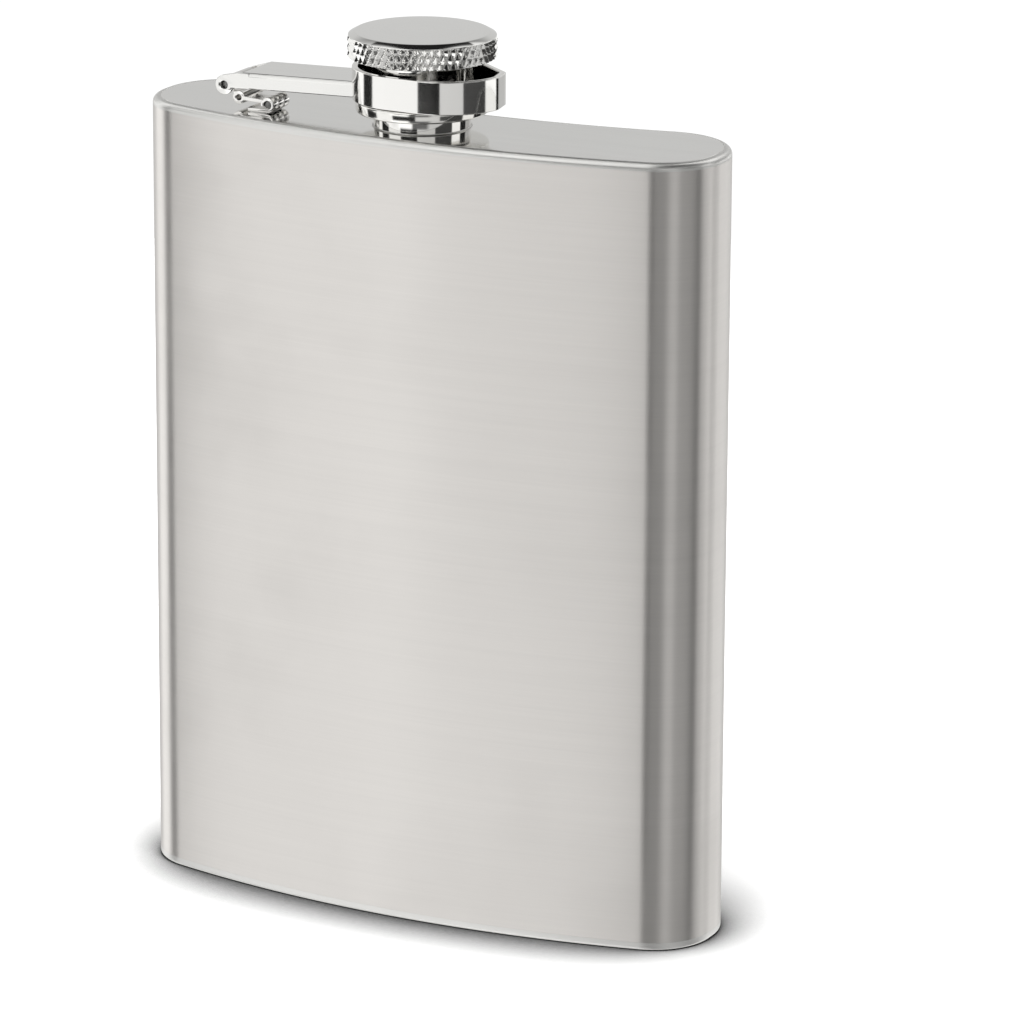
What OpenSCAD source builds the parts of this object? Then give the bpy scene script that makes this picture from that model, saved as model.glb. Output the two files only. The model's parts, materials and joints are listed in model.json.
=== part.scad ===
// Curved stainless hip flask with a captive screw cap on a hinged arm.
// X runs along the width, the convex front faces -Y, the concave back faces +Y, Z is up.
// The origin is at the bottom centre of the bounding box. All sizes are in millimetres.

/* [Body] */
// Width across the two rounded ends
body_w = 95; // [92:0.5:100]
// Thickness on the centre line
body_t = 22.5; // [21.5:0.5:25]
// Height of the body, base to top plate
body_h = 122; // [90:1:150]
// Radius of the convex front face
front_r = 167; // [160:1:200]
// Radius of the concave back face
back_r = 156; // [150:1:190]
// Radius of the corners beside the front face
front_corner_r = 9.8; // [8:0.1:10]
// Radius of the corners beside the back face
back_corner_r = 10.8; // [9:0.1:11]
// Thickness of the sheet steel
sheet = 0.8; // [0.6:0.1:1]
// Radius of the polished edge round the top
top_edge_r = 1.05; // [0.6:0.05:1.1]
// Radius of the edge round the base
base_edge_r = 0.5; // [0.3:0.05:1]

/* [Neck] */
// Distance of the neck from the middle of the width, to the left
neck_left = 0.5; // [0:0.1:2]
// Radius of the shoulder that stands on the top plate
shoulder_r = 7.3; // [7.1:0.05:7.6]
// Height of that shoulder
shoulder_h = 2.1; // [1.5:0.1:2.2]
// Radius over the thread crests
thread_r = 5.85; // [5.5:0.05:5.9]
// Height of the mouth above the top plate
mouth_h = 7.4; // [6:0.1:7.4]
// Radius of the pouring bore
bore_r = 4.6; // [4:0.1:4.8]

/* [Cap] */
// Radius of the knurled head
head_r = 11.2; // [10.5:0.1:12]
// Height of the knurled band
knurl_h = 3.4; // [3:0.1:3.8]
// Height of the top of the knurled band above the top plate
head_top = 13.85; // [13.6:0.05:15]
// Radius of the plain collar under the head
collar_r = 8; // [7.8:0.05:8.3]
// Radius of the flange that holds the cap in the loop
flange_r = 10; // [9.4:0.1:10.2]

/* [Arm] */
// Outer width of the loop across the cap
loop_w = 19.2; // [19:0.1:20]
// Length of the straight sides of the loop
loop_straight = 5.1; // [4.5:0.1:6.5]
// Height of the loop band
loop_h = 5; // [4:0.1:5.2]
// Thickness of the arm and loop sheet
arm_sheet = 0.9; // [0.7:0.1:0.9]
// Outer width of the channel
arm_w = 9.6; // [9:0.1:10]
// Height of the channel's side walls
arm_h = 2.4; // [2:0.1:2.6]
// Upward slope of the channel from its pin to the loop, in degrees
arm_slope = 2.1; // [0:0.1:3]

/* [Hinge] */
// Distance from the neck's axis to the arm pin
pin_reach = 31.4; // [30:0.1:34]
// Height of the arm pin above the top plate
arm_pin_z = 3.65; // [3.5:0.05:4]
// Distance from the neck's axis to the lug pin
lug_reach = 23.9; // [23:0.1:25]
// Height of the lug pin above the top plate
lug_pin_z = 1.3; // [1.3:0.05:1.5]
// Radius of both pins
pin_r = 0.62; // [0.5:0.02:0.64]
// Outer radius of the rolled barrels
barrel_r = 1.15; // [1.1:0.05:1.2]
// Length of the lug along the pin
lug_len = 4.8; // [4:0.1:6]
// Distance of the lug from the middle of the plate, towards the front
lug_front = 2.4; // [0:0.1:2.4]
// Length of the link's wide end
link_len = 6.6; // [6.4:0.1:7]

/* [Hidden] */

// The outline is four corner arcs joined by the front and back arcs.
face_steps = 28;
corner_steps = 12;
half_w = body_w / 2;
front_c = [0, front_r - body_t / 2];
back_c = [0, back_r + body_t / 2];
front_corner = [half_w - front_corner_r,
    front_c.y - sqrt(pow(front_r - front_corner_r, 2) - pow(half_w - front_corner_r, 2))];
back_corner = [half_w - back_corner_r,
    back_c.y - sqrt(pow(back_r + back_corner_r, 2) - pow(half_w - back_corner_r, 2))];
front_turn = atan2(front_corner.y - front_c.y, front_corner.x);
back_turn = atan2(back_corner.y - back_c.y, back_corner.x) + 180;
// The outline is shifted so that its bounding box is centred on Y = 0.
mid_y = (back_corner.y + back_corner_r - body_t / 2) / 2;

rim = 1.2;
rim_steps = 6;
seam_w = 1.2;
seam_t = 0.35;
fit_gap = 0.03;
neck_x = -neck_left;
spigot_r = 6;
spigot_depth = 1.6;
mouth_chamfer = 0.4;
braze = 0.2;
solder = 0.1;

flange_z = 2.3;
flange_top = 3.95;
liner_bore_r = 6.45;
liner_r = 7;
liner_z = 2.35;
liner_top = 9.2;
gasket_z = mouth_h + 0.05;
gasket_h = 0.9;
gasket_r = 6.3;
collar_fillet = 0.3;
knurl_z = head_top - knurl_h;
knurl_bevel = 0.35;
bevel_w = 1.1;
bevel_h = 0.55;
dome_h = 0.1;
dome_steps = 6;

loop_z = 4;
loop_mid = 1.5;
nose_cut = 0.52;
nose_turn = 10.6;
slope_turn = 53;
link_bore_r = pin_r + 0.07;
pin_hole_r = pin_r + 0.02;
arm_pin_x = -pin_reach;
lug_pin_x = -lug_reach;
arm_pin_len = 8.6;
eye_r = 1.5;
arm_top = 2.05;
arm_notch = 3.2;
channel_end = 24;
ear_back_r = 1.1;
bend_r = 0.6;
strip = 0.5;
lug_gap = 1.8;
lug_foot = 3.4;
curl = [-5.8, 0.3];
curl_r = 1.05;
curl_hole_r = 0.45;
web = 0.6;
web_inset = 0.2;
link_tongue = 1.6;
link_shoulder = 1.7;
round_fn = 96;

steel = "Gainsboro";
polished = "WhiteSmoke";
solder_grey = "LightGray";
seal = "DimGray";

function arc(c, r, from, to, steps) =
    [for (i = [0:steps]) let (a = from + (to - from) * i / steps) c + r * [cos(a), sin(a)]];
function drop_last(p) = [for (i = [0:len(p) - 2]) p[i]];
function mirrored(p) = [for (i = [len(p) - 1:-1:0]) [-p[i].x, p[i].y]];

// Body outline, counter-clockwise from the left end of the front face, moved in by inset.
function outline(inset) =
    let (right = concat(
            drop_last(arc(front_c, front_r - inset, -90, front_turn, face_steps / 2)),
            arc(front_corner, front_corner_r - inset, front_turn, 0, corner_steps),
            drop_last(arc(back_corner, back_corner_r - inset, 0, back_turn, corner_steps)),
            arc(back_c, back_r + inset, back_turn - 180, -90, face_steps / 2)),
         inner = [for (i = [1:len(right) - 2]) right[i]],
         all = concat(right, mirrored(inner)))
    [for (p = all) [p.x, p.y - mid_y]];

// A rim's section as [inset, height], with one edge rounded to radius r.
function rim_section(r) = concat(
    [[0, -rim]],
    [for (i = [0:rim_steps]) let (a = 90 * i / rim_steps) [r - r * cos(a), r * sin(a) - r]],
    [[rim, 0], [rim, -rim]]);

// Sweeps a rim section round the body outline.
module rim_sweep(section) {
    n = len(outline(0));
    m = len(section);
    points = [for (s = section) for (p = outline(s[0])) [p.x, p.y, s[1]]];
    faces = [for (j = [0:m - 1]) for (i = [0:n - 1])
        [j * n + i, ((j + 1) % m) * n + i, ((j + 1) % m) * n + (i + 1) % n, j * n + (i + 1) % n]];
    polyhedron(points, faces);
}

// Places children on the top plate, with X from the neck's axis and Y from the plate's middle.
module on_plate() {
    translate([neck_x, -mid_y, body_h]) children();
}

// A cylinder along Y, centred on the X-Z point given.
module pin_along_y(x, z, r, length, fn = round_fn) {
    translate([x, 0, z]) rotate([90, 0, 0]) cylinder(r = r, h = length, center = true, $fn = fn);
}

module body_wall() {
    color(steel) translate([0, 0, rim]) linear_extrude(body_h - 2 * rim) difference() {
        polygon(outline(0));
        polygon(outline(sheet));
    }
}

module side_seam_weld() {
    seam_y = (front_corner.y + back_corner.y) / 2 - mid_y;
    color(polished) translate([-half_w + sheet, seam_y - seam_w / 2, rim])
        cube([seam_t, seam_w, body_h - 2 * rim]);
}

module top_plate() {
    color(polished) difference() {
        translate([0, 0, body_h - sheet]) linear_extrude(sheet) polygon(outline(rim));
        on_plate() translate([0, 0, -2 * sheet])
            cylinder(r = spigot_r + fit_gap, h = 3 * sheet, $fn = round_fn);
    }
}

module top_rim_weld() {
    color(polished) translate([0, 0, body_h]) rim_sweep(rim_section(top_edge_r));
}

module base_plate() {
    color(steel) linear_extrude(sheet) polygon(outline(rim));
}

module base_rim_weld() {
    color(polished) mirror([0, 0, 1]) rim_sweep(rim_section(base_edge_r));
}

module neck() {
    color(polished) on_plate() rotate_extrude($fn = round_fn) polygon([
        [bore_r, -spigot_depth], [spigot_r, -spigot_depth], [spigot_r, 0], [shoulder_r, 0],
        [shoulder_r, shoulder_h], [thread_r, shoulder_h], [thread_r, mouth_h - mouth_chamfer],
        [thread_r - mouth_chamfer, mouth_h], [bore_r, mouth_h]]);
}

module neck_braze() {
    inner = shoulder_r + fit_gap;
    color(solder_grey) on_plate() rotate_extrude($fn = round_fn) polygon(concat(
        [[inner, 0]],
        arc([inner + braze, braze], braze, -90, -180, rim_steps)));
}

module hinge_lug() {
    knuckle = (lug_len - lug_gap) / 2;
    color(polished) on_plate() translate([0, -lug_front, 0]) difference() {
        union() {
            for (side = [-1, 1]) translate([0, side * (lug_gap + knuckle) / 2, 0])
                pin_along_y(lug_pin_x, lug_pin_z, barrel_r, knuckle);
            translate([0, 0, solder]) lug_foot_slab(strip);
        }
        pin_along_y(lug_pin_x, lug_pin_z, pin_hole_r, 2 * lug_len);
    }
}

// The lug's foot, notched where the link's barrel turns.
module lug_foot_slab(thickness) {
    notch = barrel_r + 0.25;
    translate([lug_pin_x - lug_foot, -lug_len / 2, 0]) difference() {
        cube([lug_foot, lug_len, thickness]);
        translate([lug_foot - notch, (lug_len - lug_gap) / 2, -1])
            cube([notch + 1, lug_gap, thickness + 2]);
    }
}

module lug_solder() {
    color(solder_grey) on_plate() translate([0, -lug_front, 0]) lug_foot_slab(solder);
}

module lug_pin() {
    color(polished) on_plate() translate([0, -lug_front, 0])
        pin_along_y(lug_pin_x, lug_pin_z, pin_r, lug_len - 0.4);
}

// The link: a barrel on each pin, with a curl that stiffens the strip between them.
module hinge_link() {
    lug_to_arm = [arm_pin_x - lug_pin_x, arm_pin_z - lug_pin_z];
    shoulder = curl * link_shoulder / norm(curl);
    color(polished) on_plate() difference() {
        translate([lug_pin_x, 0, lug_pin_z]) union() {
            pin_along_y(lug_to_arm.x, lug_to_arm.y, barrel_r, link_len);
            pin_along_y(curl.x, curl.y, curl_r, link_len);
            link_web(curl, lug_to_arm, link_len - web_inset);
            link_web(shoulder, curl, link_len - web_inset);
            translate([0, -lug_front, 0]) {
                link_web([0, 0], shoulder, link_tongue);
                pin_along_y(0, 0, barrel_r, link_tongue);
            }
        }
        pin_along_y(lug_pin_x, lug_pin_z, link_bore_r, 2 * link_len);
        pin_along_y(arm_pin_x, arm_pin_z, link_bore_r, 2 * link_len);
        pin_along_y(lug_pin_x + curl.x, lug_pin_z + curl.y, curl_hole_r, 2 * link_len);
    }
}

// A flat strip between two X-Z points.
module link_web(from, to, width) {
    span = to - from;
    translate([from.x, -width / 2, from.y]) rotate([0, -atan2(span.y, span.x), 0])
        translate([0, 0, -web / 2]) cube([norm(span), width, web]);
}

module arm_pin() {
    color(polished) on_plate() pin_along_y(arm_pin_x, arm_pin_z, pin_r, arm_pin_len);
}

// Outline of the loop seen from above, moved in by inset.
function loop_outline(inset) =
    let (r = loop_w / 2 - inset,
         c = loop_straight / 2,
         cut = r - nose_cut,
         turn = acos(cut / r) - nose_turn,
         nose = cut + c * cos(nose_turn),
         back = r - loop_mid * cos(slope_turn),
         wide = sin(slope_turn - nose_turn),
         corner_x = (nose * sin(slope_turn) - back * sin(nose_turn)) / wide,
         corner_y = (back * cos(nose_turn) - nose * cos(slope_turn)) / wide)
    concat([[corner_x, corner_y]], arc([-loop_mid, 0], r, slope_turn, 90, corner_steps),
        arc([-c, 0], r, 90, 270, 2 * corner_steps),
        arc([c, 0], r, 270, 360 - turn, corner_steps));

module arm_loop() {
    color(polished) on_plate() translate([loop_mid, 0, loop_z])
        linear_extrude(loop_h) difference() {
            polygon(loop_outline(0));
            polygon(loop_outline(arm_sheet));
        }
}

// The channel's section across the arm, open at the bottom.
module channel_section() {
    corner_y = arm_w / 2 - bend_r;
    corner_z = arm_top - bend_r;
    difference() {
        polygon(concat(
            [[-arm_w / 2, arm_top - arm_h], [arm_w / 2, arm_top - arm_h]],
            arc([corner_y, corner_z], bend_r, 0, 90, rim_steps),
            arc([-corner_y, corner_z], bend_r, 90, 180, rim_steps)));
        translate([-arm_w / 2 + arm_sheet, arm_top - arm_h - 1])
            square([arm_w - 2 * arm_sheet, arm_h + 1 - arm_sheet]);
    }
}

// One ear of the arm, seen from the side, with an eye of the radius given.
module ear_section(r, slant) {
    circle(r = r, $fn = round_fn);
    polygon([[0, r], [slant, arm_top - 0.1], [arm_notch + 1, arm_top - 0.1],
        [arm_notch + 1, arm_top - arm_h], [0.6, arm_top - arm_h]]);
}

module arm_channel() {
    color(steel) on_plate() difference() {
        translate([arm_pin_x, 0, arm_pin_z]) rotate([0, -arm_slope, 0]) union() {
            translate([arm_notch, 0, 0]) rotate([90, 0, 90])
                linear_extrude(channel_end - arm_notch) channel_section();
            translate([0, -arm_w / 2 + arm_sheet, 0]) rotate([90, 0, 0])
                linear_extrude(arm_sheet) ear_section(eye_r, 2.4);
            translate([0, arm_w / 2, 0]) rotate([90, 0, 0])
                linear_extrude(arm_sheet) ear_section(ear_back_r, 3);
        }
        pin_along_y(arm_pin_x, arm_pin_z, pin_hole_r, 2 * arm_w);
        translate([loop_mid, 0, 0]) linear_extrude(4 * loop_h)
            polygon(loop_outline(0));
    }
}

module cap_head() {
    dome_r = head_r - bevel_w;
    dome = [for (i = [0:dome_steps]) let (k = 1 - i / dome_steps)
        [dome_r * k, head_top + bevel_h + dome_h * (1 - k * k)]];
    color(polished) on_plate() rotate_extrude($fn = round_fn) polygon(concat(
        [[liner_r + fit_gap, flange_top + 0.02], [collar_r, flange_top + 0.02],
         [collar_r, knurl_z - collar_fillet], [collar_r + collar_fillet, knurl_z],
         [head_r - knurl_bevel, knurl_z], [head_r, knurl_z + knurl_bevel], [head_r, head_top]],
        dome,
        [[0, liner_top + fit_gap], [liner_r + fit_gap, liner_top + fit_gap]]));
}

module cap_liner() {
    color(polished) on_plate() difference() {
        translate([0, 0, liner_z]) cylinder(r = liner_r, h = liner_top - liner_z, $fn = round_fn);
        translate([0, 0, liner_z - 1])
            cylinder(r = liner_bore_r, h = gasket_z + gasket_h + 1 - liner_z, $fn = round_fn);
    }
}

module cap_flange() {
    bevel = 0.3;
    color(polished) on_plate() rotate_extrude($fn = round_fn) polygon([
        [liner_r + fit_gap, flange_z], [flange_r - bevel, flange_z], [flange_r, flange_z + bevel],
        [flange_r, flange_top - bevel], [flange_r - bevel, flange_top],
        [liner_r + fit_gap, flange_top]]);
}

module cap_gasket() {
    color(seal) on_plate() translate([0, 0, gasket_z])
        cylinder(r = gasket_r, h = gasket_h, $fn = round_fn);
}

body_wall();
side_seam_weld();
top_plate();
top_rim_weld();
base_plate();
base_rim_weld();
neck();
neck_braze();
hinge_lug();
lug_solder();
lug_pin();
hinge_link();
arm_pin();
arm_channel();
arm_loop();
cap_head();
cap_liner();
cap_flange();
cap_gasket();
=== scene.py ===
"""Looks of the hip flask. Every shown piece is built here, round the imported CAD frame.

Lengths in the building functions are millimetres in the CAD frame, and put() scales them to metres.
X runs along the width, -Y is the convex front, and Z is up.
"""
import json
import math

import bmesh
import bpy
from mathutils import Matrix, Vector


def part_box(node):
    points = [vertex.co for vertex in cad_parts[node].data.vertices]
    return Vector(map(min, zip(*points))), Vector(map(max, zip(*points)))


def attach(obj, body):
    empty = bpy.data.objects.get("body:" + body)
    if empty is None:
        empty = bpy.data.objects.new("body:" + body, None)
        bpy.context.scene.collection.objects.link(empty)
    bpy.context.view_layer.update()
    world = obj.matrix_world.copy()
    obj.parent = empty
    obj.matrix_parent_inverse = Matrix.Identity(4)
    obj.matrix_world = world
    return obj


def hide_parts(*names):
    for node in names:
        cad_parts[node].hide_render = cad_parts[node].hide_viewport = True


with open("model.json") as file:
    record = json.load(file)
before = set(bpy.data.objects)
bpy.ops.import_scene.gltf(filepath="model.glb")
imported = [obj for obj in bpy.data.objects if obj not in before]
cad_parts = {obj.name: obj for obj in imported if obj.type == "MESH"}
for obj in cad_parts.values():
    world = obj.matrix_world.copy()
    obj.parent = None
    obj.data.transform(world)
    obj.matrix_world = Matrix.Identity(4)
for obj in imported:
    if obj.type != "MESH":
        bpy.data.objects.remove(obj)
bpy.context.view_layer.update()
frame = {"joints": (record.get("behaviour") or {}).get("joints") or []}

MM = 0.001
TAU = 2 * math.pi


def mm_box(node):
    """Lowest and highest corner of a CAD node, in millimetres."""
    low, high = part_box(node)
    return low / MM, high / MM


# ---------------------------------------------------------------- sizes
wall_low, wall_high = mm_box("body_wall")
neck_low, neck_high = mm_box("neck")
HALF_W = wall_high.x
BODY_H = mm_box("top_plate")[1].z
NECK = Vector(((neck_low.x + neck_high.x) / 2, (neck_low.y + neck_high.y) / 2))
MID_Y = -NECK.y
SHEET = 0.8
RIM = wall_low.z
# Radii of the two curved faces and of the corners that join them, and the thickness in the middle.
FRONT_R, BACK_R = 167.0, 156.0
FRONT_CORNER_R, BACK_CORNER_R = 9.8, 10.8
BODY_T = 22.5
TOP_EDGE_R, BASE_EDGE_R = 1.05, 0.5
SPIGOT_R = 6.0


# ---------------------------------------------------------------- outlines and sections
def arc(centre, radius, start, end, steps):
    """Points on an arc between two angles in degrees."""
    turns = [math.radians(start + (end - start) * i / steps) for i in range(steps + 1)]
    return [(centre[0] + radius * math.cos(t), centre[1] + radius * math.sin(t)) for t in turns]


def body_outline(inset, face_steps=60, corner_steps=28):
    """The body's outline seen from above, moved in by inset.

    It runs counter-clockwise from the middle of the front, and stays inside the CAD wall's box.
    """
    front_c = (0, FRONT_R - BODY_T / 2)
    back_c = (0, BACK_R + BODY_T / 2)
    fc_x, bc_x = HALF_W - FRONT_CORNER_R, HALF_W - BACK_CORNER_R
    fc = (fc_x, front_c[1] - math.sqrt((FRONT_R - FRONT_CORNER_R) ** 2 - fc_x**2))
    bc = (bc_x, back_c[1] - math.sqrt((BACK_R + BACK_CORNER_R) ** 2 - bc_x**2))
    front_turn = math.degrees(math.atan2(fc[1] - front_c[1], fc[0]))
    back_turn = math.degrees(math.atan2(bc[1] - back_c[1], bc[0])) + 180
    right = (
        arc(front_c, FRONT_R - inset, -90, front_turn, face_steps)[:-1]
        + arc(fc, FRONT_CORNER_R - inset, front_turn, 0, corner_steps)
        + arc(bc, BACK_CORNER_R - inset, 0, back_turn, corner_steps)[:-1]
        + arc(back_c, BACK_R + inset, back_turn - 180, -90, face_steps)
    )
    left = [(-x, y) for x, y in reversed(right[1:-1])]
    return [(x, min(max(y - MID_Y, wall_low.y), wall_high.y)) for x, y in right + left]


def rounded(points, radii, steps=5):
    """A closed polygon with each corner turned into an arc of the radius given for it."""
    if isinstance(radii, (int, float)):
        radii = [radii] * len(points)
    out = []
    for i, (point, radius) in enumerate(zip(points, radii)):
        p, a, b = Vector(point), Vector(points[i - 1]), Vector(points[(i + 1) % len(points)])
        u, v = a - p, b - p
        reach = 0.49 * min(u.length, v.length)
        if radius <= 0 or reach <= 0:
            out.append(tuple(p))
            continue
        u.normalize()
        v.normalize()
        half = math.acos(max(-1, min(1, u.dot(v)))) / 2
        if half > math.radians(88):
            out.append(tuple(p))
            continue
        tangent = min(radius / math.tan(half), reach)
        centre = p + (u + v).normalized() * (tangent / math.cos(half))
        start, end = p + u * tangent - centre, p + v * tangent - centre
        turn = start.angle_signed(end)
        for k in range(steps + 1):
            t = -turn * k / steps
            c, s = math.cos(t), math.sin(t)
            out.append((centre.x + start.x * c - start.y * s, centre.y + start.x * s + start.y * c))
    return out


def chain_outline(points, radii, half, steps=40):
    """One side of a strip that runs through points, with a disc of each radius on it; 0 is a plain end."""
    side = []
    for i, (point, radius) in enumerate(zip(points, radii)):
        p = Vector(point)
        before = (p - Vector(points[i - 1])).normalized() if i else None
        after = (Vector(points[i + 1]) - p).normalized() if i < len(points) - 1 else None
        ahead = after or before
        left = Vector((-ahead.y, ahead.x))
        if radius == 0:
            side.append([p + left * half])
            continue
        dip = math.asin(half / radius)
        into = math.atan2(before.y, before.x) + math.pi if before else None
        out = math.atan2(after.y, after.x) if after else None
        start = into - dip if before else out + math.pi
        end = out + dip if after else into - math.pi
        while end > start:
            end -= TAU
        count = max(2, int(steps * (start - end) / TAU))
        turns = [start + (end - start) * k / count for k in range(count + 1)]
        side.append([p + radius * Vector((math.cos(t), math.sin(t))) for t in turns])
    return [tuple(p) for part in side for p in part]


def strip_loop(points, radii, half):
    """The closed outline of such a strip, made of both its sides."""
    forward = chain_outline(points, radii, half)
    backward = chain_outline(points[::-1], radii[::-1], half)
    return [tuple(p) for p in forward + backward]


def circle(centre, radius, steps=48):
    """A closed ring of points round centre."""
    return arc(centre, radius, 0, 360 * (steps - 1) / steps, steps - 1)


def thick_path(path, thickness):
    """Outline of a bent strip whose middle follows path."""
    points = [Vector(p) for p in path]
    left, right = [], []
    for i, p in enumerate(points):
        along = (points[min(i + 1, len(points) - 1)] - points[max(i - 1, 0)]).normalized()
        normal = Vector((-along.y, along.x)) * thickness / 2
        left.append(tuple(p + normal))
        right.append(tuple(p - normal))
    return left + right[::-1]


# ---------------------------------------------------------------- meshes
def put(name, verts, faces, material, sharp=32):
    """A smooth-shaded mesh object from points in millimetres."""
    mesh = bpy.data.meshes.new(name)
    mesh.from_pydata([(x * MM, y * MM, z * MM) for x, y, z in verts], [], faces)
    return dress(bpy.data.objects.new(name, mesh), material, sharp)


def dress(obj, material, sharp=32):
    """Cleans obj's mesh, smooths it between edges sharper than the angle given, and gives it a material."""
    mesh = obj.data
    bm = bmesh.new()
    bm.from_mesh(mesh)
    bmesh.ops.remove_doubles(bm, verts=bm.verts, dist=1e-7)
    bmesh.ops.dissolve_degenerate(bm, edges=bm.edges, dist=1e-8)
    bmesh.ops.recalc_face_normals(bm, faces=bm.faces)
    bm.to_mesh(mesh)
    bm.free()
    mesh.polygons.foreach_set("use_smooth", [True] * len(mesh.polygons))
    mesh.set_sharp_from_angle(angle=math.radians(sharp))
    mesh.materials.clear()
    mesh.materials.append(material)
    if obj.name not in bpy.context.scene.collection.objects:
        bpy.context.scene.collection.objects.link(obj)
    return obj


def loft(rings, closed=True):
    """Points and faces that join each ring to the next.

    A closed loft then joins the last ring to the first. An open one gets a flat cap on each end.
    """
    n = len(rings[0])
    last = (len(rings) - 1) * n
    verts = [p for ring in rings for p in ring]
    faces = []
    for j in range(len(rings) if closed else len(rings) - 1):
        k = (j + 1) % len(rings)
        for i in range(n):
            h = (i + 1) % n
            faces.append((j * n + i, j * n + h, k * n + h, k * n + i))
    if not closed:
        faces += [tuple(range(n)), tuple(last + i for i in reversed(range(n)))]
    return verts, faces


def swept(name, section, material, outline=body_outline):
    """A closed section of (inset, height) points carried round an outline."""
    rings = [[(x, y, z) for x, y in outline(inset)] for inset, z in section]
    return put(name, *loft(rings), material)


def turned(name, section, material, steps=160, relief=None, sharp=32):
    """A closed section of (radius, height above the top plate) points turned about the neck's axis.

    relief changes the radius from place to place, for threads and knurls.
    """
    rings = []
    for radius, z in section:
        ring = []
        for i in range(steps):
            t = TAU * i / steps
            r = radius if relief is None else relief(radius, z, t)
            ring.append((NECK.x + r * math.cos(t), NECK.y + r * math.sin(t), BODY_H + z))
        rings.append(ring)
    return put(name, *loft(rings), material, sharp)


def applied(obj):
    """A new mesh of obj with its modifiers or curve settings applied."""
    bpy.context.view_layer.update()
    return bpy.data.meshes.new_from_object(obj.evaluated_get(bpy.context.evaluated_depsgraph_get()))


def pressed(name, outlines, y_from, y_to, edge, material):
    """A plate cut to outlines in X-Z, from y_from to y_to, with its edges rounded to radius edge."""
    curve = bpy.data.curves.new(name, "CURVE")
    curve.dimensions = "2D"
    curve.fill_mode = "BOTH"
    curve.extrude = (y_to - y_from) / 2 - edge
    curve.bevel_depth = edge
    curve.bevel_resolution = 2
    curve.offset = -edge
    for outline in outlines:
        spline = curve.splines.new("POLY")
        spline.points.add(len(outline) - 1)
        for point, (x, z) in zip(spline.points, outline):
            point.co = (x, z, 0, 1)
        spline.use_cyclic_u = True
    holder = bpy.data.objects.new(name, curve)
    bpy.context.scene.collection.objects.link(holder)
    flat = applied(holder)
    bpy.data.objects.remove(holder)
    bpy.data.curves.remove(curve)
    stand = Matrix(((1, 0, 0, 0), (0, 0, -1, (y_from + y_to) / 2), (0, 1, 0, 0), (0, 0, 0, 1)))
    flat.transform(Matrix.Scale(MM, 4) @ stand)
    flat.name = name
    return dress(bpy.data.objects.new(name, flat), material)


def combined(target, others, operation="UNION"):
    """Joins others into target, or cuts them from it, and removes them."""
    for other in others:
        modifier = target.modifiers.new("combine", "BOOLEAN")
        modifier.operation = operation
        modifier.solver = "EXACT"
        modifier.object = other
    mesh = applied(target)
    target.modifiers.clear()
    target.data = mesh
    for other in others:
        bpy.data.objects.remove(other)
    return target


def even(obj):
    """Weights obj's normals by face size, so that flat faces of a cut sheet shade flat."""
    modifier = obj.modifiers.new("even", "WEIGHTED_NORMAL")
    modifier.keep_sharp = True
    modifier.weight = 90
    mesh = applied(obj)
    obj.modifiers.clear()
    obj.data = mesh


def ridden(obj, body, slot, *nodes):
    """Evens obj, says which body it moves with, and hides the CAD nodes that it stands for. slot is not
    used.
    """
    even(obj)
    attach(obj, body)
    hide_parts(*nodes)


# ---------------------------------------------------------------- materials
class Nodes:
    """Short ways to add nodes to one material or world."""

    def __init__(self, owner):
        owner.use_nodes = True
        self.tree = owner.node_tree
        self.tree.nodes.clear()

    def add(self, kind, **settings):
        node = self.tree.nodes.new(kind)
        for key, value in settings.items():
            setattr(node, key, value)
        return node

    def link(self, source, target):
        self.tree.links.new(source, target)

    def math(self, operation, *values):
        node = self.add("ShaderNodeMath", operation=operation)
        for socket, value in zip(node.inputs, values):
            self.feed(value, socket)
        return node.outputs[0]

    def feed(self, value, socket):
        if isinstance(value, (int, float)):
            socket.default_value = value
        else:
            self.link(value, socket)

    def ramp(self, value, low, high, to_low=0.0, to_high=1.0, smooth=False):
        node = self.add("ShaderNodeMapRange", interpolation_type="SMOOTHSTEP" if smooth else "LINEAR")
        self.feed(value, node.inputs["Value"])
        for key, number in (("From Min", low), ("From Max", high), ("To Min", to_low), ("To Max", to_high)):
            node.inputs[key].default_value = number
        return node.outputs["Result"]

    def noise(self, vector, scale, detail=3.0, roughness=0.55):
        node = self.add("ShaderNodeTexNoise")
        node.inputs["Scale"].default_value = scale
        node.inputs["Detail"].default_value = detail
        node.inputs["Roughness"].default_value = roughness
        self.link(vector, node.inputs["Vector"])
        return node.outputs["Fac"]

    def stretched(self, vector, x, y, z):
        node = self.add("ShaderNodeMapping")
        node.inputs["Scale"].default_value = (x, y, z)
        self.link(vector, node.inputs["Vector"])
        return node.outputs["Vector"]


# How much a finish's pattern is squeezed along its marks, so that it reads as long fine lines.
ALONG = 0.012


def lay_vector(nodes, lay):
    """Plain coordinates, and the same stretched along the marks of a finish.

    The marks run round the body, along X, along Y, or in rings about the neck.
    """
    place = nodes.add("ShaderNodeTexCoord").outputs["Object"]
    if lay == "round":
        return place, nodes.stretched(place, ALONG, ALONG, 1.0)
    if lay == "along_x":
        return place, nodes.stretched(place, ALONG, 1.0, 0.3)
    if lay == "along_y":
        return place, nodes.stretched(place, 1.0, ALONG, 1.0)
    parts = nodes.add("ShaderNodeSeparateXYZ")
    nodes.link(place, parts.inputs[0])
    dx = nodes.math("SUBTRACT", parts.outputs[0], NECK.x * MM)
    dy = nodes.math("SUBTRACT", parts.outputs[1], NECK.y * MM)
    squares = nodes.math("ADD", nodes.math("MULTIPLY", dx, dx), nodes.math("MULTIPLY", dy, dy))
    radius = nodes.math("SQRT", squares)
    rings = nodes.add("ShaderNodeCombineXYZ")
    nodes.link(radius, rings.inputs[0])
    nodes.link(parts.outputs[2], rings.inputs[2])
    return place, rings.outputs[0]


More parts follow.
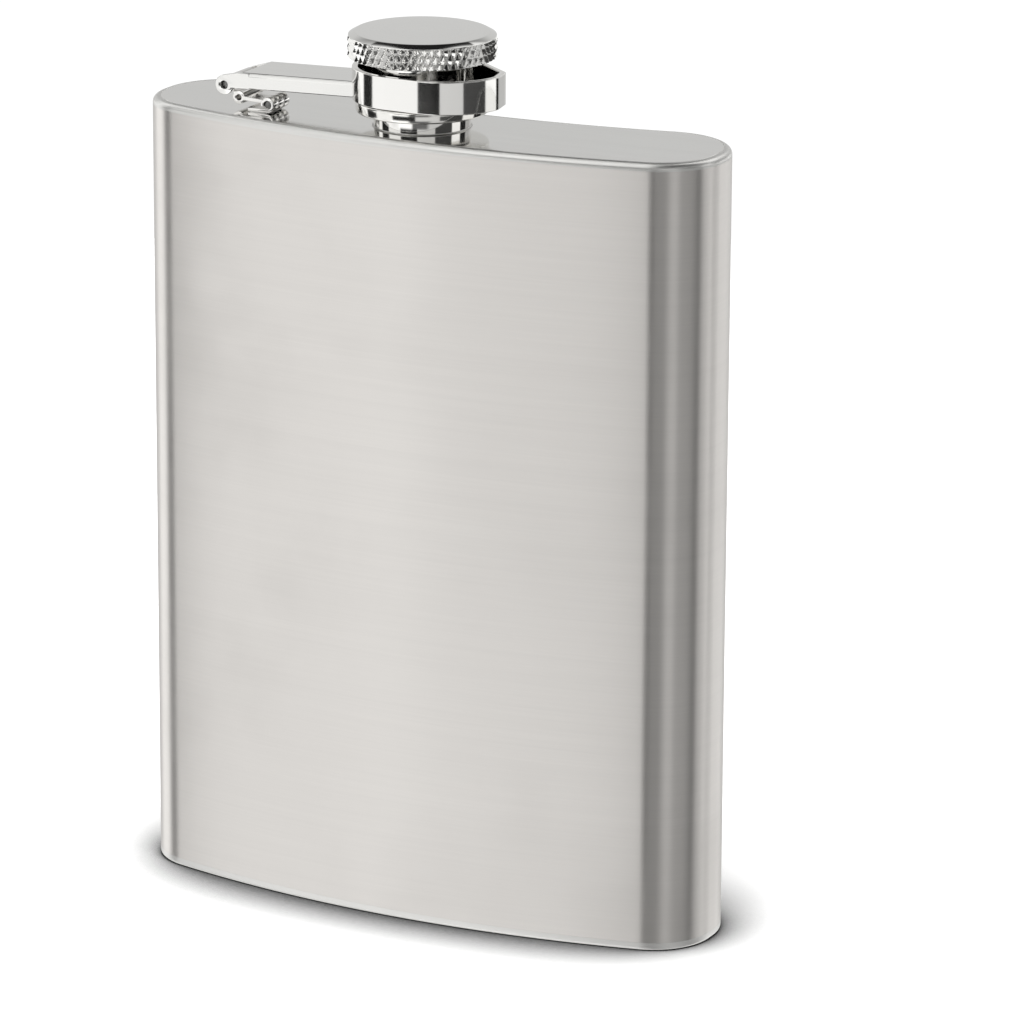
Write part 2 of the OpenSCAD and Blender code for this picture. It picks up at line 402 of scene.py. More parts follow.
def metal(name, colour, roughness, lay="round", marks=2600, depth=2.0e-6, vary=0.05, smudge=0.06,
          anisotropy=0.0, waviness=0.0):
    """Steel with fine directional marks, faint handling smudges, and roughness that follows both."""
    material = bpy.data.materials.new(name)
    nodes = Nodes(material)
    place, along = lay_vector(nodes, lay)
    fine = nodes.noise(along, marks, detail=4.0, roughness=0.65)
    broad = nodes.noise(along, marks * 0.16, detail=2.0)
    cloud = nodes.noise(place, 38, detail=5.0, roughness=0.6)
    speck = nodes.noise(place, 900, detail=2.0, roughness=0.5)

    shader = nodes.add("ShaderNodeBsdfPrincipled")
    shader.inputs["Metallic"].default_value = 1.0
    shader.inputs["Anisotropic"].default_value = anisotropy
    shader.inputs["Anisotropic Rotation"].default_value = 0.25 if anisotropy else 0.0

    def swing(pattern, amount):
        """A pattern of 0 to 1 turned into a change of up to half the amount either way."""
        return nodes.math("MULTIPLY", nodes.math("SUBTRACT", pattern, 0.5), amount)

    tone = swing(fine, vary * 1.6)
    for pattern, share in ((broad, 1.2), (cloud, 0.8)):
        tone = nodes.math("ADD", tone, swing(pattern, vary * share))
    tone = nodes.math("ADD", tone, 1.0)
    tinted = nodes.add("ShaderNodeVectorMath", operation="SCALE")
    tinted.inputs[0].default_value = colour
    nodes.link(tone, tinted.inputs["Scale"])
    nodes.link(tinted.outputs[0], shader.inputs["Base Color"])

    worn = nodes.ramp(cloud, 0.42, 0.72, 0.0, smudge, smooth=True)
    rough = nodes.math("ADD", nodes.math("ADD", worn, swing(fine, smudge * 1.4)), roughness)
    rough = nodes.math("ADD", rough, swing(speck, smudge * 0.4))
    nodes.link(nodes.ramp(rough, 0.0, 1.0), shader.inputs["Roughness"])

    bump = nodes.add("ShaderNodeBump")
    bump.inputs["Strength"].default_value = 1.0
    bump.inputs["Distance"].default_value = depth
    nodes.link(nodes.math("ADD", fine, nodes.math("MULTIPLY", broad, 1.5)), bump.inputs["Height"])
    if waviness:
        wave = nodes.add("ShaderNodeBump")
        wave.inputs["Strength"].default_value = 1.0
        wave.inputs["Distance"].default_value = waviness
        nodes.link(nodes.noise(place, 22, detail=1.0), wave.inputs["Height"])
        nodes.link(wave.outputs[0], bump.inputs["Normal"])
    nodes.link(bump.outputs[0], shader.inputs["Normal"])
    if anisotropy:
        tangent = nodes.add("ShaderNodeTangent", direction_type="RADIAL", axis="Z")
        nodes.link(tangent.outputs[0], shader.inputs["Tangent"])
    output = nodes.add("ShaderNodeOutputMaterial")
    nodes.link(shader.outputs[0], output.inputs[0])
    return material


def silicone(name):
    """Matte seal material with a fine moulded texture."""
    material = bpy.data.materials.new(name)
    nodes = Nodes(material)
    place = nodes.add("ShaderNodeTexCoord").outputs["Object"]
    grain = nodes.noise(place, 4200, detail=3.0)
    shader = nodes.add("ShaderNodeBsdfPrincipled")
    mix = nodes.add("ShaderNodeMix", data_type="RGBA")
    mix.inputs["A"].default_value = (0.035, 0.035, 0.036, 1)
    mix.inputs["B"].default_value = (0.06, 0.06, 0.06, 1)
    nodes.link(grain, mix.inputs["Factor"])
    nodes.link(mix.outputs["Result"], shader.inputs["Base Color"])
    nodes.link(nodes.ramp(grain, 0.0, 1.0, 0.5, 0.7), shader.inputs["Roughness"])
    bump = nodes.add("ShaderNodeBump")
    bump.inputs["Distance"].default_value = 1.0e-5
    nodes.link(grain, bump.inputs["Height"])
    nodes.link(bump.outputs[0], shader.inputs["Normal"])
    output = nodes.add("ShaderNodeOutputMaterial")
    nodes.link(shader.outputs[0], output.inputs[0])
    return material


WARM = (0.735, 0.712, 0.690)
SATIN = (0.76, 0.755, 0.74)
BRIGHT = (0.84, 0.832, 0.815)
wall_steel = metal("brushed_wall_steel", WARM, 0.36, "round", anisotropy=0.9, depth=1.2e-6, waviness=2.0e-5)
seam_steel = metal("weld_steel", (0.5, 0.49, 0.47), 0.45, "round", marks=900, depth=8e-6)
plate_steel = metal("satin_plate_steel", SATIN, 0.08, "along_x", depth=3e-7, waviness=4e-6)
rim_steel = metal("polished_rim_steel", SATIN, 0.36, "round", depth=5e-7, vary=0.03)
base_steel = metal("satin_base_steel", (0.68, 0.67, 0.66), 0.3, "along_x", vary=0.08, smudge=0.12)
neck_steel = metal("polished_neck_steel", (0.82, 0.81, 0.79), 0.05, "rings", depth=3e-7, vary=0.03,
                   smudge=0.03)
solder_metal = metal("dull_solder", (0.66, 0.655, 0.64), 0.35, "rings", marks=700, depth=8e-6, vary=0.12)
hinge_steel = metal("rolled_hinge_steel", (0.8, 0.79, 0.775), 0.1, "along_y", depth=8e-7)
pin_steel = metal("drawn_pin_steel", (0.2, 0.198, 0.194), 0.3, "along_y", depth=2e-6, smudge=0.1)
arm_steel = metal("satin_arm_steel", (0.8, 0.795, 0.78), 0.11, "along_x", depth=7e-7)
loop_steel = metal("mirror_loop_steel", BRIGHT, 0.085, "round", depth=2.5e-7, vary=0.02, smudge=0.03)
head_steel = metal("cap_head_steel", (0.81, 0.805, 0.79), 0.05, "rings", marks=3200, depth=4e-7,
                   smudge=0.04)
liner_steel = metal("turned_liner_steel", (0.66, 0.65, 0.64), 0.24, "rings")
flange_steel = metal("polished_flange_steel", (0.82, 0.81, 0.785), 0.07, "rings", depth=3e-7, smudge=0.04)
seal_rubber = silicone("seal_silicone")


# ---------------------------------------------------------------- body
# How far the top plate falls at its edge, and the tiny roundings of the rims and plates where they meet.
PLATE_FALL = 0.02
RIM_INNER_R, PLATE_EDGE = 0.08, 0.04


def edge_section(radius, steps=10):
    """A rim's section as (inset, height from the plate's face), with its outer edge rounded."""
    bend = [(radius - x, z - radius) for x, z in arc((0, 0), radius, 0, 90, steps)]
    inner = [(RIM - RIM_INNER_R + y, z - RIM_INNER_R) for y, z in arc((0, 0), RIM_INNER_R, 90, 0, 4)]
    return [(0, -RIM)] + bend + inner + [(RIM, -RIM)]


def make_wall():
    top = BODY_H - RIM
    section = rounded([(0, RIM), (0, top), (SHEET, top), (SHEET, RIM)], 0.02, 2)
    return swept("wall", section, wall_steel)


def make_side_seam():
    """A weld bead down the inside of the wall, uneven as if laid by hand."""
    low, high = mm_box("side_seam_weld")
    y = (low.y + high.y) / 2
    width, rise = high.y - low.y, high.x - low.x
    count, sides = 120, 10
    rings = []
    for k in range(count + 1):
        z = low.z + (high.z - low.z) * k / count
        swell = 0.82 + 0.1 * math.sin(k * 1.9) + 0.08 * math.sin(k * 0.73)
        half = width / 2 * (0.9 + 0.1 * math.sin(k * 1.3))
        turns = [math.pi * i / sides for i in range(sides + 1)]
        rings.append([(low.x + rise * swell * math.sin(t), y - half * math.cos(t), z) for t in turns])
    return put("side_seam", *loft(rings, closed=False), seam_steel)


def plate_rings(top, bottom, hole_r, fall=0.0, fall_width=3.2):
    """Rings from the plate's outline in to its hole on the top face, and back out on the bottom face.

    The top face falls by fall over its outer fall_width.
    """
    def shrunk(pull, z):
        return [(x, y, z) for x, y in body_outline(RIM + pull)]

    edge_points = body_outline(RIM + fall_width)

    def ring(share, z):
        out = []
        for x, y in edge_points:
            away = Vector((x, y)) - NECK
            r = hole_r + (away.length - hole_r) * share
            out.append((NECK.x + away.x / away.length * r, NECK.y + away.y / away.length * r, z))
        return out

    shares = [0.75, 0.5, 0.3, 0.15, 0.05, 0.0]
    steps = 8
    upper = [shrunk(0.0, top - fall - PLATE_EDGE)]
    for i in range(steps + 1):
        pull = PLATE_EDGE + (fall_width - PLATE_EDGE) * i / steps
        upper.append(shrunk(pull, top - fall * (1 - i / steps) ** 2))
    upper += [ring(s, top) for s in shares]
    lower = [ring(s, bottom) for s in reversed(shares)] + [shrunk(fall_width, bottom), shrunk(0.0, bottom)]
    return upper + lower


def make_top_panel():
    low, high = mm_box("top_plate")
    rings = plate_rings(high.z, low.z, SPIGOT_R + 0.03, PLATE_FALL)
    return put("top_panel", *loft(rings), plate_steel)


def make_base_panel():
    low, high = mm_box("base_plate")
    rings = plate_rings(high.z, low.z + 0.02, 0.0)
    return put("base_panel", *loft(rings), base_steel)


def make_rim(name, radius, z, up):
    """The ring round a plate at height z, with its rounded edge up (1) or down (-1)."""
    section = [(inset, z + up * height) for inset, height in edge_section(radius)]
    return swept(name, section, rim_steel)


# ---------------------------------------------------------------- neck
THREAD_PITCH = 1.5
# A relief changes only the points that are this close to the radius it works on.
SAME = 1e-6


def unit(value):
    """The value kept between 0 and 1."""
    return max(0.0, min(1.0, value))


def make_neck():
    """The neck with a helical thread, a rounded mouth, and its spigot through the top plate."""
    crest, root, bore = 5.85, 5.3, 4.6
    mouth, foot, shoulder = neck_high.z - BODY_H, neck_low.z - BODY_H, 2.1
    shoulder_r = (neck_high.x - neck_low.x) / 2
    start, stop = 2.9, mouth - 0.9
    run_in, run_out = 0.8, 0.6
    flank_slope, crest_flat = 3.2, 1.9

    def threaded(radius, z, turn):
        if abs(radius - root) > SAME:
            return radius
        phase = (z - start - THREAD_PITCH * turn / TAU) / THREAD_PITCH
        ridge = unit(1 - abs(phase - round(phase)) * flank_slope)
        ridge = unit(ridge * crest_flat)
        fade = unit((z - start) / run_in) * unit((stop - z) / run_out)
        return root + (crest - root) * ridge * fade

    rows = 60
    flank = [(root, shoulder + 0.3 + (mouth - 0.45 - shoulder - 0.3) * i / rows) for i in range(rows + 1)]
    section = (
        rounded([(bore, foot), (SPIGOT_R, foot), (SPIGOT_R, 0.0), (shoulder_r, 0.0), (shoulder_r, shoulder),
                 (root + 0.02, shoulder)], [0, 0.1, 0, 0, 0.28, 0.15], 5)
        + flank
        + [(root - 0.03, mouth - 0.3), (root - 0.12, mouth - 0.12), (root - 0.3, mouth - 0.02),
           (bore + 0.25, mouth), (bore + 0.08, mouth - 0.06), (bore, mouth - 0.25)]
    )
    return turned("threaded_neck", section, neck_steel, steps=256, relief=threaded)


def make_braze():
    """A hollow fillet in the corner between the neck's shoulder and the top plate."""
    low, high = mm_box("neck_braze")
    inner = (neck_high.x - neck_low.x) / 2 + 0.01
    size = (high.x - low.x) / 2 - inner
    cove = [(inner + size - x, size - z) for x, z in arc((0, 0), size, 90, 0, 8)]
    return turned("neck_braze_fillet", [(inner, 0.0)] + cove[::-1], solder_metal, steps=128)


# ---------------------------------------------------------------- hinge
joints = {j["name"]: j for j in frame["joints"]}
LUG_PIN = Vector(joints["link_swing"]["pos_m"]) / MM
ARM_PIN = Vector(joints["arm_swing"]["pos_m"]) / MM
LUG_GAP = 1.8
PIN_R, BARREL_R, STRIP = 0.62, 1.15, 0.5
PRESS_EDGE = 0.07


def make_pin(name, at, node):
    """A headless pin with a little dome at each end."""
    low, high = mm_box(node)
    half = (high.y - low.y) / 2
    dome, rows, steps = 0.16, 6, 48
    turns = [math.pi / 2 * i / rows for i in range(1, rows + 1)]
    profile = [(0, -half)] + [(PIN_R * math.sin(t), -half + dome * (1 - math.cos(t))) for t in turns]
    profile += [(r, -y) for r, y in reversed(profile)]
    rings = [[(at.x + r * math.cos(TAU * i / steps), at.y + y, at.z + r * math.sin(TAU * i / steps))
              for i in range(steps)] for r, y in profile]
    verts, faces = loft(rings)
    # Both ends are points, so the faces that would join the last ring to the first are left out.
    return put(name, verts, faces[:-steps], pin_steel)


def make_lug():
    """Two rolled knuckles on one foot, with a gap between them for the link's tongue."""
    low, high = mm_box("hinge_lug")
    gap, middle = LUG_GAP, (BARREL_R + PIN_R) / 2 + 0.02
    foot_z = low.z + STRIP / 2
    roll = [(LUG_PIN.x + x, LUG_PIN.z + z) for x, z in arc((0, 0), middle, -90, 198, 40)]
    path = [(low.x, foot_z), (low.x + 1.2, foot_z), (LUG_PIN.x - 0.9, foot_z + 0.01)] + roll
    sides = [pressed(f"lug_side_{k}", [thick_path(path, STRIP)], y0, y1, PRESS_EDGE, hinge_steel)
             for k, (y0, y1) in enumerate(((low.y, LUG_PIN.y - gap / 2), (LUG_PIN.y + gap / 2, high.y)))]
    foot = thick_path([(low.x, foot_z), (LUG_PIN.x - BARREL_R - 0.3, foot_z)], STRIP - 0.004)
    reach = gap / 2 + 0.3
    bridge = pressed("lug_foot", [foot], LUG_PIN.y - reach, LUG_PIN.y + reach, 0.02, hinge_steel)
    lug = combined(sides[0], [sides[1], bridge])
    lug.name = "rolled_lug"
    return dress(lug, hinge_steel)


def make_lug_solder():
    low, high = mm_box("lug_solder")
    plan = rounded([(low.x, low.y), (high.x, low.y), (high.x, high.y), (low.x, high.y)], 0.5, 5)
    rings = [[(x, y, z) for x, y in plan] for z in (low.z + 0.002, high.z)]
    return put("lug_solder_film", *loft(rings, closed=False), solder_metal)


def make_link():
    """The strip that joins the two pins, with a stiffening curl between them."""
    low, high = mm_box("hinge_link")
    lug, arm = (LUG_PIN.x, LUG_PIN.z), (ARM_PIN.x, ARM_PIN.z)
    curl = (LUG_PIN.x - 5.8, LUG_PIN.z + 0.3)
    curl_r, curl_hole_r, bore_r = 1.05, 0.45, PIN_R + 0.07
    half, tongue = 0.3, 1.6
    toward = (Vector(curl) - Vector(lug)).normalized()
    shoulder = tuple(Vector(lug) + toward * 1.7)
    inside = tuple(Vector(lug) + toward * 2.0)
    strip = strip_loop([arm, curl, shoulder], [BARREL_R, curl_r, 0], half)
    wide = pressed("hinge_strip", [strip, circle(arm, bore_r), circle(curl, curl_hole_r, 32)],
                   low.y, high.y, PRESS_EDGE, hinge_steel)
    end = strip_loop([inside, lug], [0, BARREL_R], half - 0.004)
    narrow = pressed("hinge_tongue", [end, circle(lug, bore_r)],
                     LUG_PIN.y - tongue / 2, LUG_PIN.y + tongue / 2, PRESS_EDGE, hinge_steel)
    return dress(combined(wide, [narrow]), hinge_steel)


# ---------------------------------------------------------------- arm
ARM_SHEET, ARM_W, ARM_TOP, ARM_WALL, BEND_R = 0.9, 9.6, 2.05, 2.4, 0.6
ARM_SLOPE = math.radians(2.1)
NOTCH = 3.2
LOOP_R, LOOP_HALF, LOOP_MID = 9.6, 2.55, 1.5
NOSE_CUT, NOSE_TURN, BACK_TURN = 0.52, 10.6, 53.0


def loop_outline(inset, steps=96):
    """The loop seen from above: round in front and on the left, with a flat nose and a straight side."""
    r = LOOP_R - inset
    cut = r - NOSE_CUT
    nose_t, back_t = math.radians(NOSE_TURN), math.radians(BACK_TURN)
    nose = cut + LOOP_HALF * math.cos(nose_t)
    back = r - LOOP_MID * math.cos(back_t)
    wide = math.sin(back_t - nose_t)
    turn = math.degrees(math.acos(cut / r)) - NOSE_TURN
    front_corner = Vector(arc((LOOP_HALF, 0), r, -turn, -turn, 1)[0])
    back_corner = Vector(((nose * math.sin(back_t) - back * math.sin(nose_t)) / wide,
                          (back * math.cos(nose_t) - nose * math.cos(back_t)) / wide))
    side = arc((-LOOP_MID, 0), r, BACK_TURN, 90, steps // 8)
    flat = [front_corner.lerp(back_corner, share) for share in (0.02, 0.25, 0.5, 0.75, 0.97)]
    slope = [back_corner.lerp(Vector(side[0]), share) for share in (0.02, 0.35, 0.7)]
    points = (
        flat
        + slope
        + side
        + arc((-LOOP_HALF, 0), r, 90, 270, steps // 2)
        + arc((LOOP_HALF, 0), r, 270, 360 - turn - 0.6, steps // 4)
    )
    return [(NECK.x + LOOP_MID + x, NECK.y + y) for x, y in points]


def make_loop():
    low, high = mm_box("arm_loop")
    section = rounded([(0, low.z), (0, high.z), (ARM_SHEET, high.z), (ARM_SHEET, low.z)], 0.16, 5)
    return swept("retaining_loop", section, loop_steel, loop_outline)


def make_arm():
    """A channel bent from sheet, with one long and one short ear that hold the arm pin."""
    top, bottom = ARM_TOP, ARM_TOP - ARM_WALL
    outer, corner = ARM_W / 2, ARM_W / 2 - BEND_R
    inner, tip = outer - ARM_SHEET, 0.12
    over = arc((corner, top - BEND_R), BEND_R, 0, 90, 8)
    under = arc((inner - 0.25, top - ARM_SHEET - 0.25), 0.25, 90, 0, 4)
    half = [(outer - tip, bottom), (outer, bottom + tip)] + over
    half_under = under + [(inner, bottom + tip), (inner + tip, bottom)]
    section = half + [(-y, z) for y, z in reversed(half)]
    section += [(-y, z) for y, z in reversed(half_under)] + half_under
    length = 24.0
    rings = [[(x, y, z) for y, z in section] for x in (NOTCH, NOTCH + 0.1, NOTCH + 6, NOTCH + 12, length)]
    channel = put("arm_channel_sheet", *loft(rings, closed=False), arm_steel)

    def ear(radius, slant, y0, y1):
        rise = math.degrees(math.atan2(top - 0.1 - radius, slant))
        meet = 360 + math.degrees(math.asin(bottom / radius))
        eye = arc((0, 0), radius, 90 + rise, meet, 56)
        body = [(NOTCH + 1.2, bottom), (NOTCH + 1.2, top - 0.1), (slant, top - 0.1)]
        return pressed("ear", [eye + body, circle((0, 0), PIN_R + 0.02)], y0, y1, 0.08, arm_steel)

    near = ear(radius=1.5, slant=2.4, y0=-outer, y1=-inner)
    far = ear(radius=1.1, slant=3.0, y0=inner, y1=outer)
    arm = combined(channel, [near, far])
    placed = Matrix.Translation(ARM_PIN * MM) @ Matrix.Rotation(-ARM_SLOPE, 4, "Y")
    arm.data.transform(placed)
    rings = [[(x, y, z) for x, y in loop_outline(0.05)] for z in (BODY_H, BODY_H + 20)]
    cutter = put("cutter", *loft(rings, closed=False), arm_steel)
    arm = combined(arm, [cutter], "DIFFERENCE")
    arm.name = "arm_channel_sheet"
    return dress(arm, arm_steel)


# ---------------------------------------------------------------- cap
KNURLS = 60
KNURL_DEPTH = 0.5
KNURL_LEAD = 0.42


def make_head():
    """Knurled band with a plain collar below it and a bevel and low dome above it."""
    low, high = mm_box("cap_head")
    head_r, top = (high.x - low.x) / 2, high.z - BODY_H
    knurl_low, knurl_high = 10.45, 13.85
    liner_r, liner_top, collar_r = 7.03, 9.23, 8.0
    bevel_w, bevel_h = 1.1, 0.55
    crest_flat, rows = 1.08, 26
    knurl_z = [knurl_low + 0.25 + (knurl_high - knurl_low - 0.4) * i / rows for i in range(rows + 1)]

    def diamonds(radius, z, turn):
        if abs(radius - head_r) > SAME:
            return radius
        lead = z * KNURL_LEAD
        a = KNURLS * turn / TAU + lead
        b = KNURLS * turn / TAU - lead
        rise_a = 1 - abs(2 * (a - math.floor(a)) - 1)
        rise_b = 1 - abs(2 * (b - math.floor(b)) - 1)
        crest = min(1.0, min(rise_a, rise_b) * crest_flat)
        return head_r - KNURL_DEPTH * (1 - crest)

    bevel_top, bevel_in, steps = knurl_high + bevel_h, head_r - bevel_w, 14
    dome_low, dome_r = bevel_top + 0.02, bevel_in - 1.5
    bevel = rounded([(head_r - 0.12, knurl_high - 0.12), (head_r - 0.1, knurl_high), (bevel_in, bevel_top),
                     (dome_r, dome_low)], [0, 0.08, 0.7, 0], 6)
    dome = [(dome_r - dome_r * i / steps, dome_low + (top - dome_low) * (1 - (1 - i / steps) ** 2))
            for i in range(1, steps + 1)]
    section = (
        [(liner_r, 3.97), (collar_r, 3.97), (collar_r, 4.1), (collar_r, 7.0)]
        + arc((collar_r + 0.28, knurl_low - 0.28), 0.28, 180, 90, 5)
        + [(head_r - 0.62, knurl_low), (head_r - 0.5, knurl_low + 0.03), (head_r - 0.3, knurl_low + 0.14)]
        + [(head_r, z) for z in knurl_z]
        + bevel
        + dome
        + [(0.0, liner_top), (liner_r - 0.3, liner_top), (liner_r, liner_top - 0.3)]
    )
    return turned("knurled_cap_head", section, head_steel, steps=KNURLS * 8, relief=diamonds, sharp=40)


def make_liner():
    """The inner shell of the cap, with a helical groove in its bore."""
    low, high = mm_box("cap_liner")
    outer, bore, groove = 7.0, 6.45, 0.3
    bottom, top = low.z - BODY_H, high.z - BODY_H
    seat = 8.35
    rows, run, flank_slope = 48, 0.5, 3.0

    def grooved(radius, z, turn):
        if abs(radius - bore) > SAME:
            return radius
        phase = (z - THREAD_PITCH * turn / TAU) / THREAD_PITCH
        cut = unit(1 - abs(phase - round(phase)) * flank_slope)
        fade = unit((z - bottom - 0.25) / run) * unit((seat - 0.4 - z) / run)
        return bore + groove * cut * fade

    inside = [(bore, seat - (seat - bottom - 0.12) * i / rows) for i in range(rows + 1)]
    section = [(bore + 0.1, bottom), (outer - 0.08, bottom), (outer, bottom + 0.08), (outer, top - 0.08),
               (outer - 0.08, top), (0.0, top), (0.0, seat), (bore - 0.01, seat)] + inside
    return turned("cap_liner_shell", section, liner_steel, steps=192, relief=grooved)


def make_flange():
    low, high = mm_box("cap_flange")
    inner, outer = 7.03, (high.x - low.x) / 2
    z0, z1 = low.z - BODY_H, high.z - BODY_H
    section = rounded([(inner, z0), (outer, z0), (outer, z1), (inner, z1)], [0.06, 0.3, 0.3, 0.06], 6)
    return turned("cap_flange_ring", section, flange_steel, steps=192)


def make_gasket():
    """A flat seal with the ring that the neck has pressed into it."""
    low, high = mm_box("cap_gasket")
    radius = (high.x - low.x) / 2
    z0, z1 = low.z - BODY_H, high.z - BODY_H
    mark_in, mark_out = 4.5, 5.8
    section = [(0.0, z0), (mark_in - 0.2, z0), (mark_in, z0 + 0.08), (mark_out, z0 + 0.08),
               (mark_out + 0.15, z0), (radius - 0.12, z0), (radius, z0 + 0.12), (radius, z1 - 0.1),
               (radius - 0.1, z1), (0.0, z1)]
    return turned("seal_disc", section, seal_rubber, steps=96)


ridden(make_wall(), "flask", "brushed_wall", "body_wall")
ridden(make_side_seam(), "flask", "weld", "side_seam_weld")
ridden(make_top_panel(), "flask", "top_sheet", "top_plate")
ridden(make_rim("top_rim", TOP_EDGE_R, BODY_H, 1), "flask", "polished_rim", "top_rim_weld")
ridden(make_base_panel(), "flask", "base_sheet", "base_plate")
ridden(make_rim("base_rim", BASE_EDGE_R, 0.0, -1), "flask", "base_rim", "base_rim_weld")
ridden(make_neck(), "flask", "polished_neck", "neck")
ridden(make_braze(), "flask", "solder", "neck_braze")
ridden(make_lug(), "flask", "polished_hinge", "hinge_lug")
ridden(make_lug_solder(), "flask", "solder", "lug_solder")
ridden(make_pin("lug_hinge_pin", LUG_PIN, "lug_pin"), "flask", "pin_steel", "lug_pin")
ridden(make_link(), "link", "polished_hinge", "hinge_link")
ridden(make_pin("arm_hinge_pin", ARM_PIN, "arm_pin"), "arm", "pin_steel", "arm_pin")
ridden(make_arm(), "arm", "arm_steel", "arm_channel")
ridden(make_loop(), "arm", "polished_loop", "arm_loop")
ridden(make_head(), "cap", "knurled_head", "cap_head")
ridden(make_liner(), "cap", "liner_steel", "cap_liner")
ridden(make_flange(), "cap", "polished_flange", "cap_flange")
ridden(make_gasket(), "cap", "seal", "cap_gasket")


# ---------------------------------------------------------------- studio
CAMERA_ROLL = 0.3056
CAMERA_LENS, CAMERA_SENSOR = 224.03, 36


def make_camera():
    """The camera's place and long lens, with a slight roll."""
    place = Vector((437.825, -815.110 - MID_Y, 336.187))
    target = Vector((11.50, 5.97 - MID_Y, 62.13))
    back = (place - target).normalized()
    right = Vector((0, 0, 1)).cross(back).normalized()
    up = back.cross(right)
    roll = math.radians(CAMERA_ROLL)
    x_axis = right * math.cos(roll) + up * math.sin(roll)
    y_axis = up * math.cos(roll) - right * math.sin(roll)
    data = bpy.data.cameras.new("camera")
    data.sensor_width = CAMERA_SENSOR
    data.lens = CAMERA_LENS
    data.clip_start = 0.05
    camera = bpy.data.objects.new("camera", data)
    facing = Matrix((x_axis, y_axis, back)).transposed().to_4x4()
    camera.matrix_world = Matrix.Translation(place * MM) @ facing
    bpy.context.scene.collection.objects.link(camera)
    bpy.context.scene.camera = camera


def make_floor():
    """A pale disc whose colour is darkened by ambient occlusion where the object stands on it: a painted
    contact shadow.
    """
    steps, radius, drop = 128, 420.0, 0.05
    turns = [TAU * i / steps for i in range(steps)]
    verts = [(radius * math.cos(t), radius * math.sin(t), -drop) for t in turns]
    material = bpy.data.materials.new("studio_floor")
    nodes = Nodes(material)
    painted_shadow_ao = nodes.add("ShaderNodeAmbientOcclusion", samples=16)
    painted_shadow_ao.inputs["Distance"].default_value = 0.022
    # Painted contact shadow: the floor's colour goes dark near the base through ambient occlusion, on top
    # of the real lighting.
    tone = nodes.ramp(painted_shadow_ao.outputs["AO"], 0.5, 0.97, 0.03, 0.88)
    diffuse = nodes.add("ShaderNodeBsdfDiffuse")
    nodes.link(tone, diffuse.inputs["Color"])
    output = nodes.add("ShaderNodeOutputMaterial")
    nodes.link(diffuse.outputs[0], output.inputs[0])
    floor = put("studio_floor", verts, [tuple(range(steps))], material)
    floor.visible_glossy = False


# Brightness of the studio round the object, as (azimuth, brightness), with 0 in front and 90 on the right.
# BELT fills the elevations of BELT_DOWN (below the horizon) and BELT_UP, and ROOM is everywhere else.
BELT = [
    (-180, 0.66), (-128, 0.66), (-112, 0.6), (-108, 1.2), (-81, 1.2), (-80, 0.02), (-58, 0.02), (-57, 1.1),
    (-24.5, 1.1), (-24, 0.02), (16, 0.02), (16.5, 0.74), (58, 0.68), (59, 0.06), (102, 0.06), (103, 1.2),
    (128, 1.2), (129, 0.02), (150, 0.02), (151, 0.5), (170, 0.5), (180, 0.66),
]
ROOM = [
    (-180, 0.66), (-125, 0.66), (-112, 1.2), (-84, 1.2), (-80, 0.2), (-67, 0.2), (-63, 1.2), (-50, 1.1),
    (-42, 0.96), (-30, 1.1), (-24, 1.55), (-12, 1.35), (2, 1.3), (7, 0.15), (37, 0.15), (46, 0.62),
    (88, 0.62), (98, 0.2), (118, 0.2), (146, 1.3), (176, 1.3), (180, 0.66),
]
BELT_DOWN = (8.5, 17.5)
BELT_UP = (3.0, 24.0)
# Azimuths of the middle of the room's dark areas, behind on the left and on the right.
DARK_BEHIND, DARK_RIGHT = -152.0, 72.0


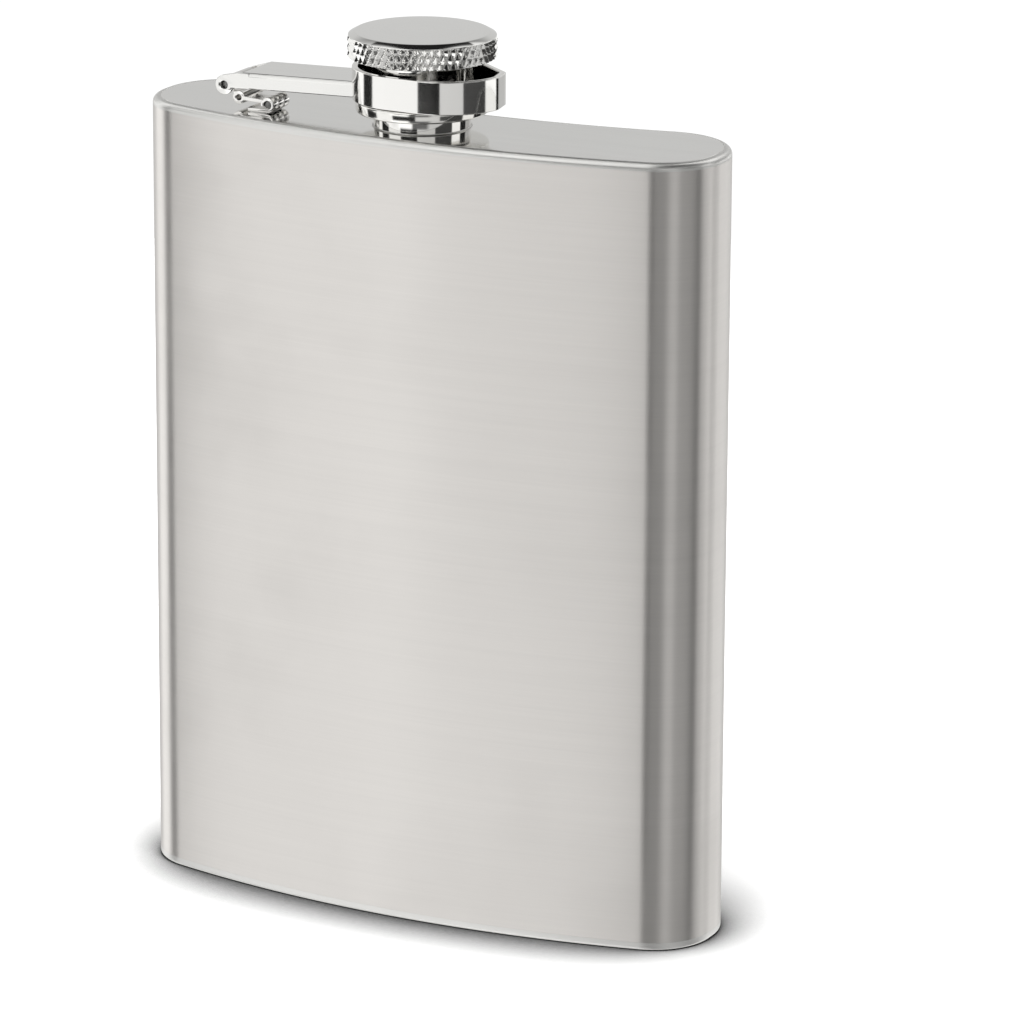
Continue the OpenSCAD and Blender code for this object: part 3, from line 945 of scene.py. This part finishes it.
def make_world():
    """The studio that the object mirrors, and the plain white backdrop that the camera sees."""
    world = bpy.data.worlds.new("studio")
    bpy.context.scene.world = world
    nodes = Nodes(world)
    direction = nodes.add("ShaderNodeTexCoord").outputs["Generated"]
    parts = nodes.add("ShaderNodeSeparateXYZ")
    nodes.link(direction, parts.inputs[0])
    x, y, z = parts.outputs
    degrees = 180 / math.pi
    azimuth = nodes.math("MULTIPLY", nodes.math("ARCTAN2", x, nodes.math("MULTIPLY", y, -1.0)), degrees)
    elevation = nodes.math("MULTIPLY", nodes.math("ARCSINE", z), degrees)

    def soft(value, low, high, to_low, to_high):
        return nodes.ramp(value, low, high, to_low, to_high, smooth=True)

    def panorama(stops):
        node = nodes.add("ShaderNodeValToRGB")
        nodes.link(nodes.ramp(azimuth, -180, 180), node.inputs[0])
        ramp = node.color_ramp
        while len(ramp.elements) < len(stops):
            ramp.elements.new(0.5)
        for element, (turn, value) in zip(ramp.elements, stops):
            element.position = (turn + 180) / 360
            element.color = (value, value, value, 1)
        return node.outputs[0]

    def band(low, high):
        """1 between two elevations and 0 elsewhere, with a soft edge."""
        return nodes.math("MULTIPLY", soft(elevation, low - 1, low + 1, 0, 1),
                          soft(elevation, high + 1, high - 1, 0, 1))

    def away_from(turn):
        """Degrees of azimuth between a direction and turn."""
        return nodes.math("ABSOLUTE", nodes.math("WRAP", nodes.math("ADD", azimuth, -turn), 180.0, -180.0))

    belt = nodes.math("ADD", band(-BELT_DOWN[1], -BELT_DOWN[0]), band(*BELT_UP))
    light = nodes.add("ShaderNodeMix", data_type="FLOAT")
    for value, socket in ((belt, 0), (panorama(ROOM), 2), (panorama(BELT), 3)):
        nodes.link(value, light.inputs[socket])
    behind, right = away_from(DARK_BEHIND), away_from(DARK_RIGHT)
    shade = nodes.math("MULTIPLY", soft(behind, 50, 30, 0, 1), soft(elevation, 20, 42, 0, 0.35))
    total = nodes.math("SUBTRACT", light.outputs[0], shade)
    overhead = nodes.math("MULTIPLY", soft(behind, 40, 32, 0, 0.95), band(46, 80))
    corner = nodes.math("MULTIPLY", soft(right, 58, 46, 0, 0.9), soft(elevation, 32, 40, 0, 1))
    for dark in (overhead, corner):
        total = nodes.math("MULTIPLY", total, nodes.math("SUBTRACT", 1.0, dark))
    studio = nodes.add("ShaderNodeBackground")
    nodes.link(total, studio.inputs["Strength"])
    studio.inputs["Color"].default_value = (1.0, 1.0, 0.99, 1)
    backdrop = nodes.add("ShaderNodeBackground")
    backdrop.inputs["Color"].default_value = (1, 1, 1, 1)
    backdrop.inputs["Strength"].default_value = 1.05
    path = nodes.add("ShaderNodeLightPath")
    mix = nodes.add("ShaderNodeMixShader")
    nodes.link(path.outputs["Is Camera Ray"], mix.inputs[0])
    nodes.link(studio.outputs[0], mix.inputs[1])
    nodes.link(backdrop.outputs[0], mix.inputs[2])
    output = nodes.add("ShaderNodeOutputWorld")
    nodes.link(mix.outputs[0], output.inputs[0])


def make_lamp():
    """A large soft lamp overhead, for the floor."""
    data = bpy.data.lights.new("overhead", "AREA")
    data.shape = "DISK"
    data.size = 0.9
    data.energy = 22
    lamp = bpy.data.objects.new("overhead", data)
    lamp.location = (0.1, -0.35, 1.0)
    lamp.rotation_euler = (math.radians(19), math.radians(6), 0)
    lamp.visible_glossy = False
    bpy.context.scene.collection.objects.link(lamp)


make_camera()
make_floor()
make_world()
make_lamp()
bpy.context.scene.view_settings.view_transform = "Standard"
